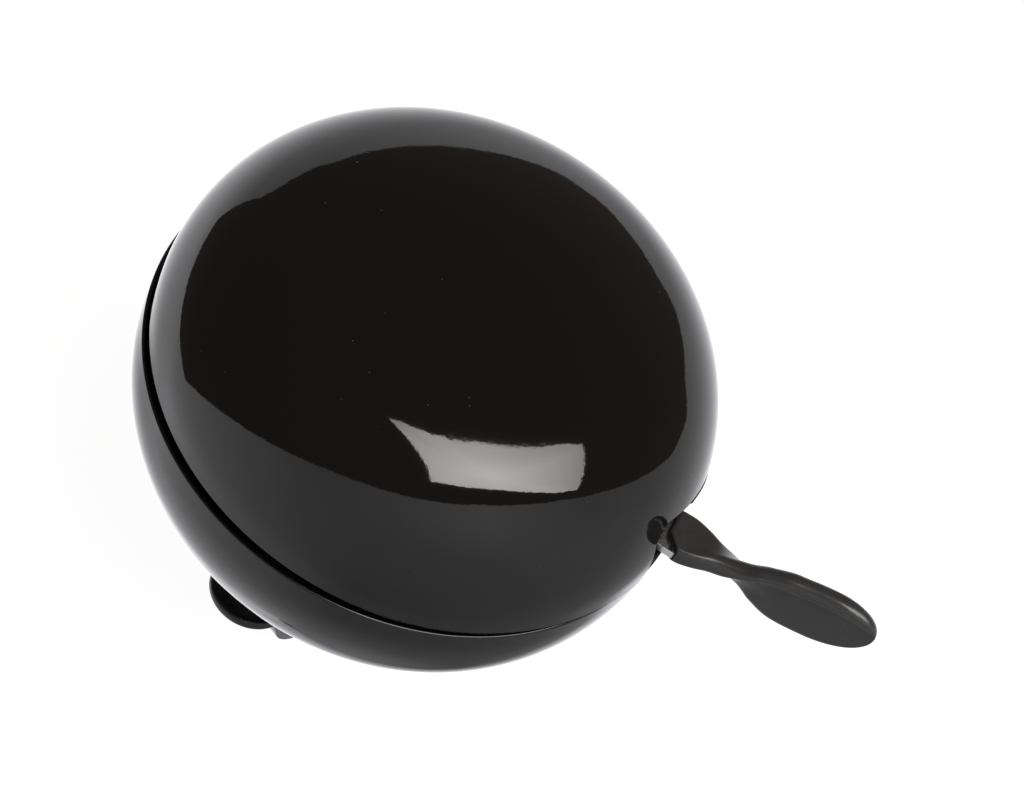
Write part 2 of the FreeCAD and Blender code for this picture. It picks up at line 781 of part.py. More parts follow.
def make_thumb_lever(lever_arm):
    """Black moulded lever: flat where the arm's tongue enters it, then turned upright into a pad."""
    # place along the lever, aside, half width, height of the middle above the upper rim, thickness, twist
    stations = [
        (38.6, -0.3, 3.4, 0.35, 3.0, 0),
        (41.0, -0.4, 3.6, 0.35, 3.0, 1),
        (43.5, -0.5, 3.2, 0.5, 3.0, 6),
        (46.5, -0.5, 2.7, 0.6, 3.0, 26),
        (50.0, -0.3, 3.2, 0.4, 3.0, 59),
        (53.0, -0.3, 4.4, 0.25, 3.0, 81),
        (57.0, -0.3, 5.1, 0.65, 3.0, 92),
        (61.0, -0.2, 5.1, 1.3, 3.0, 95),
    ]
    # The pad's end is half an ellipse that climbs a little.
    tip_start, tip_length, climb = 62.0, 8.3, 0.17
    _, aside, pad_half, pad_middle, pad_thick, pad_twist = stations[-1]
    for part_way in (0.4, 0.7, 0.88, 0.97):
        along = tip_start + tip_length * part_way
        shrink = math.sqrt(1 - part_way ** 2)
        middle = pad_middle + climb * (along - stations[7][0])
        thick = pad_thick * math.sqrt(1 - part_way ** 4)
        stations.append((along, aside * shrink, pad_half * shrink, middle, thick, pad_twist))
    sections = []
    for along, aside, half, middle, thick, twist in stations:
        thick = min(thick, 1.9 * half)
        sections.append(rounded_section(along, aside, half, value("upper_rim") + middle, thick, twist))
    lever = Part.makeLoft(sections, True)
    # The inner end is cut back on the near side, where the bare arm shows.
    slant_inner, slant_outer = Vector(38.6, -1.5, 0), Vector(41.0, -4.0, 0)
    run = slant_outer - slant_inner
    corners = [slant_inner - run, slant_outer + run, Vector(slant_inner.x - run.x, slant_outer.y + run.y, 0)]
    wedge = Part.Face(Part.makePolygon(corners + corners[:1])).extrude(Vector(0, 0, 10))
    wedge.translate(Vector(0, 0, value("upper_rim") - 5))
    socket = lever_arm.Shape.copy()
    socket.Placement = FreeCAD.Placement()
    piece = document.addObject("Part::Feature", "thumb_lever_shape")
    piece.Shape = lever.cut([wedge, socket])
    keep(turn(piece), "thumb_lever")


# ---------------------------------------------------------------- handlebar clamp

def half_ring(name, inner, outer, low, high):
    """The part of a ring round the handlebar between two heights."""
    ring = cut(f"{name}_ring", cross_cylinder(f"{name}_outer", outer, "-band_half", "band_half"),
               [cross_cylinder(f"{name}_inner", inner, f"-{FAR}", FAR)])
    slab = block(f"{name}_keep", (f"-{FAR}", f"-{FAR}", low), (FAR, FAR, high))
    return overlap(f"{name}_part", [ring, slab])


def make_saddle_ear():
    """Flat ear of the saddle with a round end and rounded edges."""
    body = new_body("saddle_ear")
    flat = pad(body, EAR_BASE, "ear_thick", outlines=[[
        ("-ear_half", "-ear_place"),
        ("0", "-ear_place - ear_half", "ear_half", 1),
        ("ear_half", "-ear_place", "ear_half", 1),
        ("ear_half", f"-{WEB_START}"),
        ("-ear_half", f"-{WEB_START}"),
    ]])
    flat_faces = [f"Face{index}" for index, face in enumerate(flat.Shape.Faces, start=1)
                  if abs(face.normalAt(0, 0).z) > 0.99]
    edge = body.newObject("PartDesign::Fillet", "saddle_ear_edge")
    edge.Base = (flat, flat_faces)
    edge.setExpression("Radius", bound("ear_round"))
    document.recompute()
    return body


def make_clamp_saddle():
    """Upper half of the clamp: band, platform for the gong, ear for the nut, middle knuckle."""
    band = half_ring("saddle", BAND_INNER, BAND_OUTER, EAR_BASE, f"{BAND_OUTER} + 1")
    platform = cut("saddle_platform",
                   cylinder("saddle_platform_disc", "platform_radius", EAR_BASE, PLATFORM_TOP),
                   [cross_cylinder("saddle_platform_under", f"{BAND_INNER} + 0.5", f"-{FAR}", FAR)])
    knuckle = join("saddle_knuckle", [
        cross_cylinder("saddle_knuckle_round", "knuckle_radius", "-knuckle_half", "knuckle_half",
                       *HINGE),
        block("saddle_knuckle_web", ("-knuckle_half", WEB_START, EAR_BASE),
              ("knuckle_half", "hinge_aside", "split_height + knuckle_radius - 0.2")),
    ])
    solid = join("saddle_joined", [band, platform, make_saddle_ear(), knuckle])
    knuckle_room = []
    for side, low, high in (("left", "-band_half - 1", "-knuckle_half - 0.001"),
                            ("right", "knuckle_half + 0.001", "band_half + 1")):
        knuckle_room.append(cross_cylinder(f"saddle_room_{side}", "knuckle_room", low, high, *HINGE))
    head_room = document.addObject("Part::Cone", "saddle_countersink")
    head_room.setExpression("Radius1", bound("screw_radius + 2 * countersink"))
    head_room.setExpression("Radius2", bound("screw_radius"))
    head_room.setExpression("Height", bound("2 * countersink"))
    head_room.setExpression("Placement.Base.z", bound(f"{BAND_INNER} - countersink"))
    keep(cut("saddle_cut", solid, [
        cross_cylinder("saddle_bore", BAND_INNER, f"-{FAR}", FAR),
        *knuckle_room,
        head_room,
        cylinder("saddle_screw_hole", "screw_radius", f"{BAND_INNER} - 1", f"{PLATFORM_TOP} + 1"),
        cylinder("saddle_ear_hole", "clamp_screw_radius + 0.15", f"{EAR_BASE} - 1", f"{EAR_TOP} + 1",
                 y="-ear_place"),
        cross_cylinder("saddle_pin_hole", "hinge_pin_radius", f"-{FAR}", FAR, *HINGE),
    ]), "clamp_saddle")


def make_clamp_strap():
    """Lower half of the clamp: band, forked ear for the screw, two outer knuckles."""
    band = half_ring("strap", BAND_INNER, BAND_OUTER, f"-{BAND_OUTER} - 1", FORK_TOP)
    ear = join("strap_ear", [
        cylinder("strap_ear_end", "fork_half", FORK_BASE, FORK_TOP, y="-fork_place"),
        block("strap_ear_bar", ("-fork_half", "-fork_place", FORK_BASE),
              ("fork_half", f"-{WEB_START}", FORK_TOP)),
    ])
    knuckles = []
    for side, low, high in (("left", "-band_half", "-knuckle_half - knuckle_play"),
                            ("right", "knuckle_half + knuckle_play", "band_half")):
        knuckles.append(cross_cylinder(f"strap_knuckle_{side}", "knuckle_radius", low, high, *HINGE))
        knuckles.append(block(f"strap_web_{side}",
                              (low, WEB_START, "split_height + 0.2 - knuckle_radius"),
                              (high, "hinge_aside", FORK_TOP)))
    solid = join("strap_joined", [band, ear, *knuckles])
    slot = join("strap_slot", [
        cylinder("strap_slot_end", "fork_slot", f"{FORK_BASE} - 1", f"{FORK_TOP} + 1", y="-ear_place"),
        block("strap_slot_run", ("-fork_slot", f"-{FAR}", f"{FORK_BASE} - 1"),
              ("fork_slot", "-ear_place", f"{FORK_TOP} + 1")),
    ])
    middle = "(knuckle_half + knuckle_play)"
    keep(cut("strap_cut", solid, [
        cross_cylinder("strap_bore", BAND_INNER, f"-{FAR}", FAR),
        slot,
        cross_cylinder("strap_pin_hole", "hinge_pin_radius + running_play", f"-{FAR}", FAR,
                       *HINGE),
        cross_cylinder("strap_room", "knuckle_room", f"-{middle}", middle, *HINGE),
    ]), "clamp_strap")


def make_clamp_fittings():
    keep(half_ring("liner_upper", "bar_radius", BAND_INNER, EAR_BASE, FAR), "liner_upper")
    keep(half_ring("liner_lower", "bar_radius", BAND_INNER, f"-{FAR}", FORK_TOP), "liner_lower")
    keep(cross_cylinder("clamp_hinge_pin_bar", "hinge_pin_radius", "-band_half - 0.6",
                        "band_half + 0.6", *HINGE), "clamp_hinge_pin")

    screw = new_body("clamp_screw_body")
    revolve(screw, [
        ("0", f"{FORK_BASE} - clamp_head_height + recess_depth"),
        ("recess_radius", f"{FORK_BASE} - clamp_head_height + recess_depth"),
        ("recess_radius", f"{FORK_BASE} - clamp_head_height"),
        ("clamp_head_radius - 0.5", f"{FORK_BASE} - clamp_head_height"),
        ("clamp_head_radius", f"{FORK_BASE} - clamp_head_height + 0.5"),
        ("clamp_head_radius", f"{FORK_BASE} - 0.05"),
        ("clamp_screw_radius", f"{FORK_BASE} - 0.05"),
        ("clamp_screw_radius", "clamp_screw_tip - 0.5"),
        ("clamp_screw_radius - 0.5", "clamp_screw_tip"),
        ("0", "clamp_screw_tip"),
    ])
    screw.setExpression("Placement.Base.y", bound("-ear_place"))
    keep(screw, "clamp_screw")
    keep(hex_nut("clamp_nut_cut", "clamp_nut_flats", "clamp_screw_radius + thread_play",
                 EAR_TOP, "clamp_nut_height", "-ear_place"), "clamp_nut")


upper = make_upper_gong()
lower = make_lower_gong()
make_gong_fittings(upper, lower)
make_post()
make_plate()
arm = make_lever_arm()
make_pins()
make_striker()
make_return_spring()
make_thumb_lever(arm)
make_clamp_saddle()
make_clamp_strap()
make_clamp_fittings()
document.recompute()

for item in document.Objects:
    if "Invalid" in item.State or "Error" in item.State:
        raise RuntimeError(f"{item.Name} did not compute: {item.State}")
for label, piece in nodes.items():
    if piece.Shape.isNull() or not piece.Shape.isValid():
        raise RuntimeError(f"{label} has no valid shape")

os.makedirs("parts", exist_ok=True)
for label, piece in nodes.items():
    piece.Shape.exportStep(f"parts/{label}.step")
    print(label, len(piece.Shape.Solids), round(piece.Shape.Volume, 2))
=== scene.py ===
"""Looks for the two-gong bicycle bell: finer gongs, lever and spring, procedural materials and studio.

Shapes are worked out in millimetres and scaled to metres as they become mesh points.  The notch, the
thumb lever and the spring are drawn in the lever's frame, which is the row frame turned about Z by
LEVER_ANGLE.  Materials, the studio and the camera are in metres.
"""

import json
import math

import bmesh
import bpy
from mathutils import Matrix, Vector
from mathutils.geometry import delaunay_2d_cdt


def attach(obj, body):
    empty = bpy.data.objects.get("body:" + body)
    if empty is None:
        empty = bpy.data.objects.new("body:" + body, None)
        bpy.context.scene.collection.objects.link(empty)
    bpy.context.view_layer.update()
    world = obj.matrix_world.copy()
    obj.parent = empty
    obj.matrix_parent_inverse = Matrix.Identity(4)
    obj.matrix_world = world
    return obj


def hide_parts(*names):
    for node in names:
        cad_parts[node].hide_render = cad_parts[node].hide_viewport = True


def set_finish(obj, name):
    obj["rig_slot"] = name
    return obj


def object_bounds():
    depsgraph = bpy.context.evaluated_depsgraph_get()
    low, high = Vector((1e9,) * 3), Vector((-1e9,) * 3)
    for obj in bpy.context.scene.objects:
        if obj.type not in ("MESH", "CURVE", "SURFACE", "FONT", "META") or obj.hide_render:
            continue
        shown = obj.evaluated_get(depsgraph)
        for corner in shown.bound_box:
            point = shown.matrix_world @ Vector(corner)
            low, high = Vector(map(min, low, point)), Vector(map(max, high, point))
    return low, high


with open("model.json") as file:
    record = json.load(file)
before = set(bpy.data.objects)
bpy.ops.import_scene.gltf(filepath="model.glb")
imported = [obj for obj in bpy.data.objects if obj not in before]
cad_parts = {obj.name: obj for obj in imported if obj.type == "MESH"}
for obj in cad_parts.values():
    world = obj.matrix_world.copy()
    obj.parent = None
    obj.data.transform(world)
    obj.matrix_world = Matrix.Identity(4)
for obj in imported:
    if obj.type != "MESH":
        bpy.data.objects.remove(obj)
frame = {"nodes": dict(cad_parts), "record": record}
cad_low, cad_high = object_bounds()

MM = 0.001
LEVER_ANGLE = math.radians(23.0)

# ---------------------------------------------------------------- dimensions, in millimetres
GONG_RADIUS = 40.0
GONG_WALL = 1.2
RIM_BAND = 2.5
UPPER_RIM = 46.1
LOWER_RIM = 44.6
UPPER_RISE, UPPER_SHOULDER = 29.0, 22.5
LOWER_RISE, LOWER_SHOULDER = 31.1, 26.0
GONG_SHIFT = 0.6
SEAT_RADIUS, GONG_HOLE = 9.0, 3.6
SHEET_ROUND = 0.32

# The notch's two sides, its heights there, its corners, and the stretch of rim drawn with it.
NOTCH_NEAR, NOTCH_FAR = 10.8, 5.5
NOTCH_TALL, NOTCH_LOW = 11.6, 8.0
TALL_CORNER, LOW_CORNER, RIM_CORNER = 2.4, 1.2, 0.9
RIM_RUN = 3.0

LEVER_PIVOT = 20.0
ARM_BASE, ARM_TOP = UPPER_RIM - 0.5, UPPER_RIM + 0.7


def lever_frame(point_mm):
    """A point of the lever's frame, in millimetres, as a row-frame vector in metres."""
    return Matrix.Rotation(LEVER_ANGLE, 3, "Z") @ (Vector(point_mm) * MM)


def new_object(name, mesh):
    piece = bpy.data.objects.new(name, mesh)
    bpy.context.scene.collection.objects.link(piece)
    return piece


def mesh_from(name, points, faces, smooth=True):
    mesh = bpy.data.meshes.new(name)
    mesh.from_pydata([tuple(p) for p in points], [], faces)
    mesh.validate()
    mesh.polygons.foreach_set("use_smooth", [smooth] * len(mesh.polygons))
    mesh.update()
    return mesh


# ---------------------------------------------------------------- gong surface

class Dome:
    """A gong's outer profile as a function of arc length from the rim, in millimetres."""

    def __init__(self, rise, shoulder):
        tall = rise - RIM_BAND
        reach = GONG_RADIUS - shoulder
        crown = (reach ** 2 + tall ** 2 - shoulder ** 2) / (2 * (tall - shoulder))
        self.crown, self.crown_height = crown, rise - crown
        self.shoulder, self.reach = shoulder, reach
        join_height = self.crown_height + crown * (crown - tall) / (crown - shoulder)
        self.bend = math.asin((join_height - RIM_BAND) / shoulder)
        self.shoulder_end = RIM_BAND + shoulder * self.bend
        self.apex = self.shoulder_end + crown * (math.pi / 2 - self.bend)

    def at(self, arc):
        """Radius, height and the normal's two parts at an arc length from the rim."""
        if arc < RIM_BAND:
            return GONG_RADIUS, arc, 1.0, 0.0
        if arc < self.shoulder_end:
            angle = (arc - RIM_BAND) / self.shoulder
            cosine, sine = math.cos(angle), math.sin(angle)
            return self.reach + self.shoulder * cosine, RIM_BAND + self.shoulder * sine, cosine, sine
        angle = self.bend + (arc - self.shoulder_end) / self.crown
        cosine, sine = math.cos(angle), math.sin(angle)
        return self.crown * cosine, self.crown_height + self.crown * sine, cosine, sine

    def arc_at_height(self, height):
        """Arc length from the rim to a height on the band or the shoulder."""
        if height < RIM_BAND:
            return height
        return RIM_BAND + self.shoulder * math.asin((height - RIM_BAND) / self.shoulder)

    def place(self, azimuth, arc, depth):
        """Point at a depth below the outer face, and the outward normal there."""
        radius, height, outward, upward = self.at(arc)
        normal = Vector((outward * math.cos(azimuth), outward * math.sin(azimuth), upward))
        point = Vector((radius * math.cos(azimuth), radius * math.sin(azimuth), height))
        return point - normal * depth, normal


def spread(start, end, step):
    """Evenly spaced values from start towards end, without end."""
    count = max(1, math.ceil(abs(end - start) / step))
    return [start + (end - start) * i / count for i in range(count)]


def rounded_path(corners, step=0.3):
    """Points along a polyline whose corners (across, up, radius) are rounded, without its last point."""
    points = []
    previous = Vector(corners[0][:2])
    for index in range(1, len(corners) - 1):
        corner = Vector(corners[index][:2])
        radius = corners[index][2]
        before = (previous - corner).normalized()
        after = (Vector(corners[index + 1][:2]) - corner).normalized()
        half = before.angle(after) / 2
        tangent = radius / math.tan(half)
        entry, leave = corner + before * tangent, corner + after * tangent
        centre = corner + (before + after).normalized() * (radius / math.sin(half))
        length = (entry - previous).length
        points += [previous.lerp(entry, t / length) for t in spread(0, length, step)]
        turn = (entry - centre).angle_signed(leave - centre)
        for angle in spread(0, turn, step / radius):
            points.append(centre + Matrix.Rotation(-angle, 2) @ (entry - centre))
        previous = leave
    end = Vector(corners[-1][:2])
    length = (end - previous).length
    points += [previous.lerp(end, t / length) for t in spread(0, length, step)]
    return points


def edge_profile(edge_round, steps=5):
    """Cross-section of a rounded sheet edge: (out of the sheet, below its face, normal's two parts)."""
    angles = [math.pi / 2 * i / steps for i in range(steps + 1)]
    upper = [(edge_round * (math.sin(a) - 1), edge_round * (1 - math.cos(a)), math.sin(a), math.cos(a))
             for a in angles]
    lower = [(out, GONG_WALL - deep, side, -up) for out, deep, side, up in reversed(upper)]
    return upper + lower


def gong_outline(dome):
    """The upper gong's whole edge, notch first, as (azimuth, arc length from the rim)."""
    notch = rounded_path([
        (-NOTCH_NEAR - RIM_RUN, 0.0),
        (-NOTCH_NEAR, 0.0, RIM_CORNER),
        (-NOTCH_NEAR, NOTCH_TALL, TALL_CORNER),
        (NOTCH_FAR, NOTCH_LOW, LOW_CORNER),
        (NOTCH_FAR, 0.0, RIM_CORNER),
        (NOTCH_FAR + RIM_RUN, 0.0),
    ])
    outline = []
    for across, height in notch:
        arc = dome.arc_at_height(max(height, 0.0))
        outline.append((math.asin(across / dome.at(arc)[0]), arc))
    first = math.asin((NOTCH_FAR + RIM_RUN) / GONG_RADIUS)
    last = 2 * math.pi - math.asin((NOTCH_NEAR + RIM_RUN) / GONG_RADIUS)
    return outline + [(azimuth, 0.0) for azimuth in spread(first, last, math.radians(0.9))]


def edge_sides(places):
    """For each (point, normal) along the sheet's edge, the unit vector that points out of the sheet."""
    sides = []
    for index, (_, normal) in enumerate(places):
        along = places[(index + 1) % len(places)][0] - places[index - 1][0]
        sides.append(normal.cross(along).normalized() * -1)
    return sides


def in_notch(across, along, height, gap):
    """Whether a place on the dome lies in the notch or within a gap of its edge."""
    top = NOTCH_TALL + (NOTCH_LOW - NOTCH_TALL) * (across + NOTCH_NEAR) / (NOTCH_FAR + NOTCH_NEAR)
    return along > 0 and -NOTCH_NEAR - gap < across < NOTCH_FAR + gap and height < top + gap


def inner_places(dome):
    """The dome's apex and rings of places about it that keep clear of the sheet's edge."""
    ring_step, border_gap = 1.0, 0.75
    ring_count = int(dome.apex / ring_step)
    inside = [(0.0, dome.apex)]
    for ring in range(1, ring_count):
        arc = dome.apex * ring / ring_count
        radius, height, _, _ = dome.at(arc)
        around = max(6, int(2 * math.pi * (dome.apex - arc) / ring_step))
        for index in range(around):
            azimuth = 2 * math.pi * (index + 0.5 * (ring % 2)) / around
            if not in_notch(radius * math.sin(azimuth), radius * math.cos(azimuth), height, border_gap):
                inside.append((azimuth, arc))
    return inside


def sheet_triangles(dome, flat, border_count):
    """Triangles over places laid out flat about the apex; the first places are the border, in order."""
    spots = []
    for azimuth, arc in flat:
        reach = dome.apex - arc
        spots.append(Vector((reach * math.cos(azimuth), reach * math.sin(azimuth))))
    inside_only, tolerance = 1, 1e-6
    result = delaunay_2d_cdt(spots, [], [list(range(border_count))], inside_only, tolerance)
    original = [indices[0] for indices in result[3]]
    return [[original[corner] for corner in face] for face in result[2]]


def make_upper_gong():
    """Dome with the lever's notch: both faces share one triangulation, joined by a rounded edge."""
    dome = Dome(UPPER_RISE, UPPER_SHOULDER)
    places = [dome.place(azimuth, arc, 0.0) for azimuth, arc in gong_outline(dome)]
    sides = edge_sides(places)
    count = len(places)
    border = []
    for (point, _), side in zip(places, sides):
        inset = point - side * SHEET_ROUND
        border.append((math.atan2(inset.y, inset.x), dome.arc_at_height(max(inset.z, 0.0))))
    flat = border + inner_places(dome)
    triangles = sheet_triangles(dome, flat, count)

    outer = [dome.place(azimuth, arc, 0.0) for azimuth, arc in flat]
    inner = [dome.place(azimuth, arc, GONG_WALL) for azimuth, arc in flat]
    points = [point for point, _ in outer + inner]
    normals = [normal for _, normal in outer] + [-normal for _, normal in inner]
    under = len(flat)
    faces = triangles + [[under + corner for corner in reversed(face)] for face in triangles]

    rows = [list(range(count))]
    for out, deep, side_part, up_part in edge_profile(SHEET_ROUND)[1:-1]:
        rows.append(list(range(len(points), len(points) + count)))
        for (point, normal), side in zip(places, sides):
            points.append(point + side * out - normal * deep)
            normals.append((side * side_part + normal * up_part).normalized())
    rows.append([under + index for index in range(count)])
    for upper, lower in zip(rows, rows[1:]):
        for index in range(count):
            after = (index + 1) % count
            faces.append([upper[index], upper[after], lower[after], lower[index]])

    turned = Matrix.Rotation(LEVER_ANGLE, 3, "Z")
    lifted = [turned @ ((point + Vector((0, 0, UPPER_RIM))) * MM) for point in points]
    mesh = mesh_from("upper_gong_skin", lifted, faces)
    mesh.normals_split_custom_set_from_vertices([tuple(turned @ normal) for normal in normals])
    piece = new_object("upper_gong_skin", mesh)
    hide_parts("upper_gong")
    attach(piece, "top")
    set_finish(piece, "gong_enamel")
    return piece


def lathe(name, profile_mm, segments=256):
    """Closed mesh of revolution about Z from a closed outline of (radius, height) points."""
    points, faces = [], []
    count = len(profile_mm)
    for segment in range(segments):
        angle = 2 * math.pi * segment / segments
        for radius, height in profile_mm:
            points.append(Vector((radius * math.cos(angle), radius * math.sin(angle), height)) * MM)
    for segment in range(segments):
        this, after = segment * count, (segment + 1) % segments * count
        for index in range(count):
            follow = (index + 1) % count
            faces.append([this + index, after + index, after + follow, this + follow])
    return new_object(name, mesh_from(name, points, faces))


def make_lower_gong():
    """Inverted dome with a rounded rim and a flat seat round its hole."""
    dome = Dome(LOWER_RISE, LOWER_SHOULDER)
    sag = dome.crown - math.sqrt(dome.crown ** 2 - SEAT_RADIUS ** 2)
    seat_arc = dome.apex - dome.crown * math.asin(SEAT_RADIUS / dome.crown)
    seat_height = LOWER_RISE - sag
    # Closer steps next to the rim's rounding keep the shading there even.
    arcs = [SHEET_ROUND, 0.4, 0.5, 0.65, 0.85, 1.2, 1.8] + spread(RIM_BAND, seat_arc, 0.8)
    outer = [dome.place(0.0, arc, 0.0)[0] for arc in arcs]
    inner = [dome.place(0.0, arc, GONG_WALL)[0] for arc in arcs]
    profile = [(GONG_RADIUS - deep, -out) for out, deep, _, _ in edge_profile(SHEET_ROUND)[1:-1]]
    profile += [(p.x, p.z) for p in inner]
    # The dome eases into the flat seat over the last millimetre on both faces.
    inside = seat_height - GONG_WALL
    profile += [(SEAT_RADIUS - 0.4, inside + 0.02), (SEAT_RADIUS - 0.9, inside), (GONG_HOLE, inside),
                (GONG_HOLE, seat_height), (SEAT_RADIUS - 0.6, seat_height),
                (SEAT_RADIUS - 0.1, seat_height - 0.03)]
    profile += [(p.x, p.z) for p in reversed(outer)]
    turned = [(radius, LOWER_RIM - height) for radius, height in profile]
    piece = lathe("lower_gong_skin", turned)
    shift = lever_frame((-GONG_SHIFT, 0, 0))
    for vertex in piece.data.vertices:
        vertex.co += shift
    outward_faces(piece)
    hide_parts("lower_gong")
    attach(piece, "clamp")
    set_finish(piece, "gong_enamel")
    return piece


def outward_faces(piece):
    """Turns every face of a closed mesh outwards."""
    mesh = bmesh.new()
    mesh.from_mesh(piece.data)
    bmesh.ops.recalc_face_normals(mesh, faces=mesh.faces)
    mesh.to_mesh(piece.data)
    mesh.free()


# ---------------------------------------------------------------- thumb lever

LEVER_STATIONS = [
    # place along the lever, aside, half width, height of the middle above the upper rim, thickness, twist
    (38.6, -0.3, 3.4, 0.35, 3.0, 0.0),
    (41.0, -0.4, 3.6, 0.35, 3.0, 1.0),
    (43.5, -0.5, 3.2, 0.5, 3.0, 6.0),
    (46.5, -0.5, 2.7, 0.6, 3.0, 26.0),
    (50.0, -0.3, 3.2, 0.4, 3.0, 59.0),
    (53.0, -0.3, 4.4, 0.25, 3.0, 81.0),
    (57.0, -0.3, 5.1, 0.65, 3.0, 92.0),
    (61.0, -0.2, 5.1, 1.3, 3.0, 95.0),
    (70.3, 0.0, 5.1, 2.9, 3.0, 95.0),
]
TIP_START, TIP_LENGTH = 62.0, 8.3
# The inner end is cut back on the near side, between these two points (along, aside).
SLANT_INNER, SLANT_OUTER = (38.6, -1.5), (41.0, -4.0)
SQUARE_ON = 43.5
END_ROUND = 0.35
# Radius of the section's corners at the root and in the pad, and how deep the pad's face is dished.
ROOT_CORNER, PAD_CORNER, DISH = 0.8, 1.42, 1.05
SECTION_ARC_STEPS, SECTION_FACE_STEPS, SECTION_END_STEPS = 7, 16, 2
SECTION_POINTS = 4 * (SECTION_ARC_STEPS + 1) + 2 * (SECTION_FACE_STEPS - 1 + SECTION_END_STEPS - 1)


def station_at(along):
    """Aside, half width, middle height, thickness and twist by a smooth curve through the stations."""
    knots = [row[0] for row in LEVER_STATIONS]
    index = 0
    while index < len(knots) - 2 and along > knots[index + 1]:
        index += 1

    def rise(start, column):
        """Rate of change between a station and the next."""
        return (LEVER_STATIONS[start + 1][column] - LEVER_STATIONS[start][column]) / (
            knots[start + 1] - knots[start])

    def slope(station, column):
        """Rate of change at a station: level at a peak, and the harmonic mean elsewhere."""
        if station in (0, len(knots) - 1):
            return rise(max(station - 1, 0), column)
        before, after = rise(station - 1, column), rise(station, column)
        return 0.0 if before * after <= 0 else 2 * before * after / (before + after)

    length = knots[index + 1] - knots[index]
    t = (along - knots[index]) / length
    values = []
    for column in range(1, 6):
        start, end = LEVER_STATIONS[index][column], LEVER_STATIONS[index + 1][column]
        out, arrive = slope(index, column) * length, slope(index + 1, column) * length
        values.append((2 * t ** 3 - 3 * t ** 2 + 1) * start + (t ** 3 - 2 * t ** 2 + t) * out
                      + (3 * t ** 2 - 2 * t ** 3) * end + (t ** 3 - t ** 2) * arrive)
    return values


def smooth_step(low, high, number):
    """0 below low, 1 above high, and an even ease between them."""
    t = min(max((number - low) / (high - low), 0.0), 1.0)
    return t * t * (3 - 2 * t)


def section_outline(half, tall, corner):
    """Rounded rectangle from its lower right corner, anticlockwise: (across, up) with closer corners."""
    outline = []
    corners = ((half - corner, corner - tall, -90), (half - corner, tall - corner, 0),
               (corner - half, tall - corner, 90), (corner - half, corner - tall, 180))

    def on_corner(order, turned):
        across, up, start = corners[order % 4]
        angle = math.radians(start + turned)
        return across + corner * math.cos(angle), up + corner * math.sin(angle)

    for order in range(4):
        for step in range(SECTION_ARC_STEPS + 1):
            outline.append(on_corner(order, 90 * step / SECTION_ARC_STEPS))
        steps = SECTION_FACE_STEPS if order in (1, 3) else SECTION_END_STEPS
        last, follow = outline[-1], on_corner(order + 1, 0)
        for step in range(1, steps):
            part = step / steps
            outline.append((last[0] + (follow[0] - last[0]) * part, last[1] + (follow[1] - last[1]) * part))
    return outline


def lever_point(along, outline_index, end_round):
    """Point of the lever's surface: a section turned by its twist, with the dished face of the pad."""
    aside, half, middle, thick, twist = station_at(along)
    tip = min(max((along - TIP_START) / TIP_LENGTH, 0.0), 0.999)
    half *= math.sqrt(1 - tip ** 2)
    tall = min(thick / 2 * math.sqrt(1 - tip ** 4), half * 0.97)
    half, tall = half - end_round, tall - end_round
    corner = ROOT_CORNER + (PAD_CORNER - ROOT_CORNER) * smooth_step(42.0, 48.0, along)
    corner = min(corner, tall * 0.98, half * 0.98)
    across, up = section_outline(half, tall, corner)[outline_index]
    if up < 0:
        # The front face sinks below the thick upper lip and comes up again at the thin lower edge.
        place = across / half
        sink = smooth_step(-0.86, -0.42, place) * (1 - 0.35 * smooth_step(0.2, 1.0, place))
        up += DISH * smooth_step(47.0, 54.0, along) * math.sqrt(1 - tip ** 2) * sink
    turn = math.radians(twist)
    return (aside + across * math.cos(turn) + up * math.sin(turn),
            UPPER_RIM + middle - across * math.sin(turn) + up * math.cos(turn))


def root_ring(share):
    """Ring a share of the way from the slanted inner end to the first section that is square on."""
    slant = (SLANT_OUTER[0] - SLANT_INNER[0]) / (SLANT_INNER[1] - SLANT_OUTER[1])
    ring = []
    for index in range(SECTION_POINTS):
        aside, _ = lever_point(SLANT_INNER[0], index, 0.0)
        start = SLANT_INNER[0] + max(0.0, (SLANT_INNER[1] - aside) * slant)
        along = start + (SQUARE_ON - start) * share
        ease = min((along - start) / END_ROUND, 1.0)
        end_round = END_ROUND * (1 - math.sqrt(max(1 - (1 - ease) ** 2, 0.0)))
        ring.append((along, *lever_point(along, index, end_round)))
    return ring


def ring_faces(ring_count, around):
    """Four-sided faces between each ring of points and the next."""
    faces = []
    for order in range(1, ring_count):
        this, before = order * around, (order - 1) * around
        for index in range(around):
            follow = (index + 1) % around
            faces.append([before + index, this + index, this + follow, before + follow])
    return faces


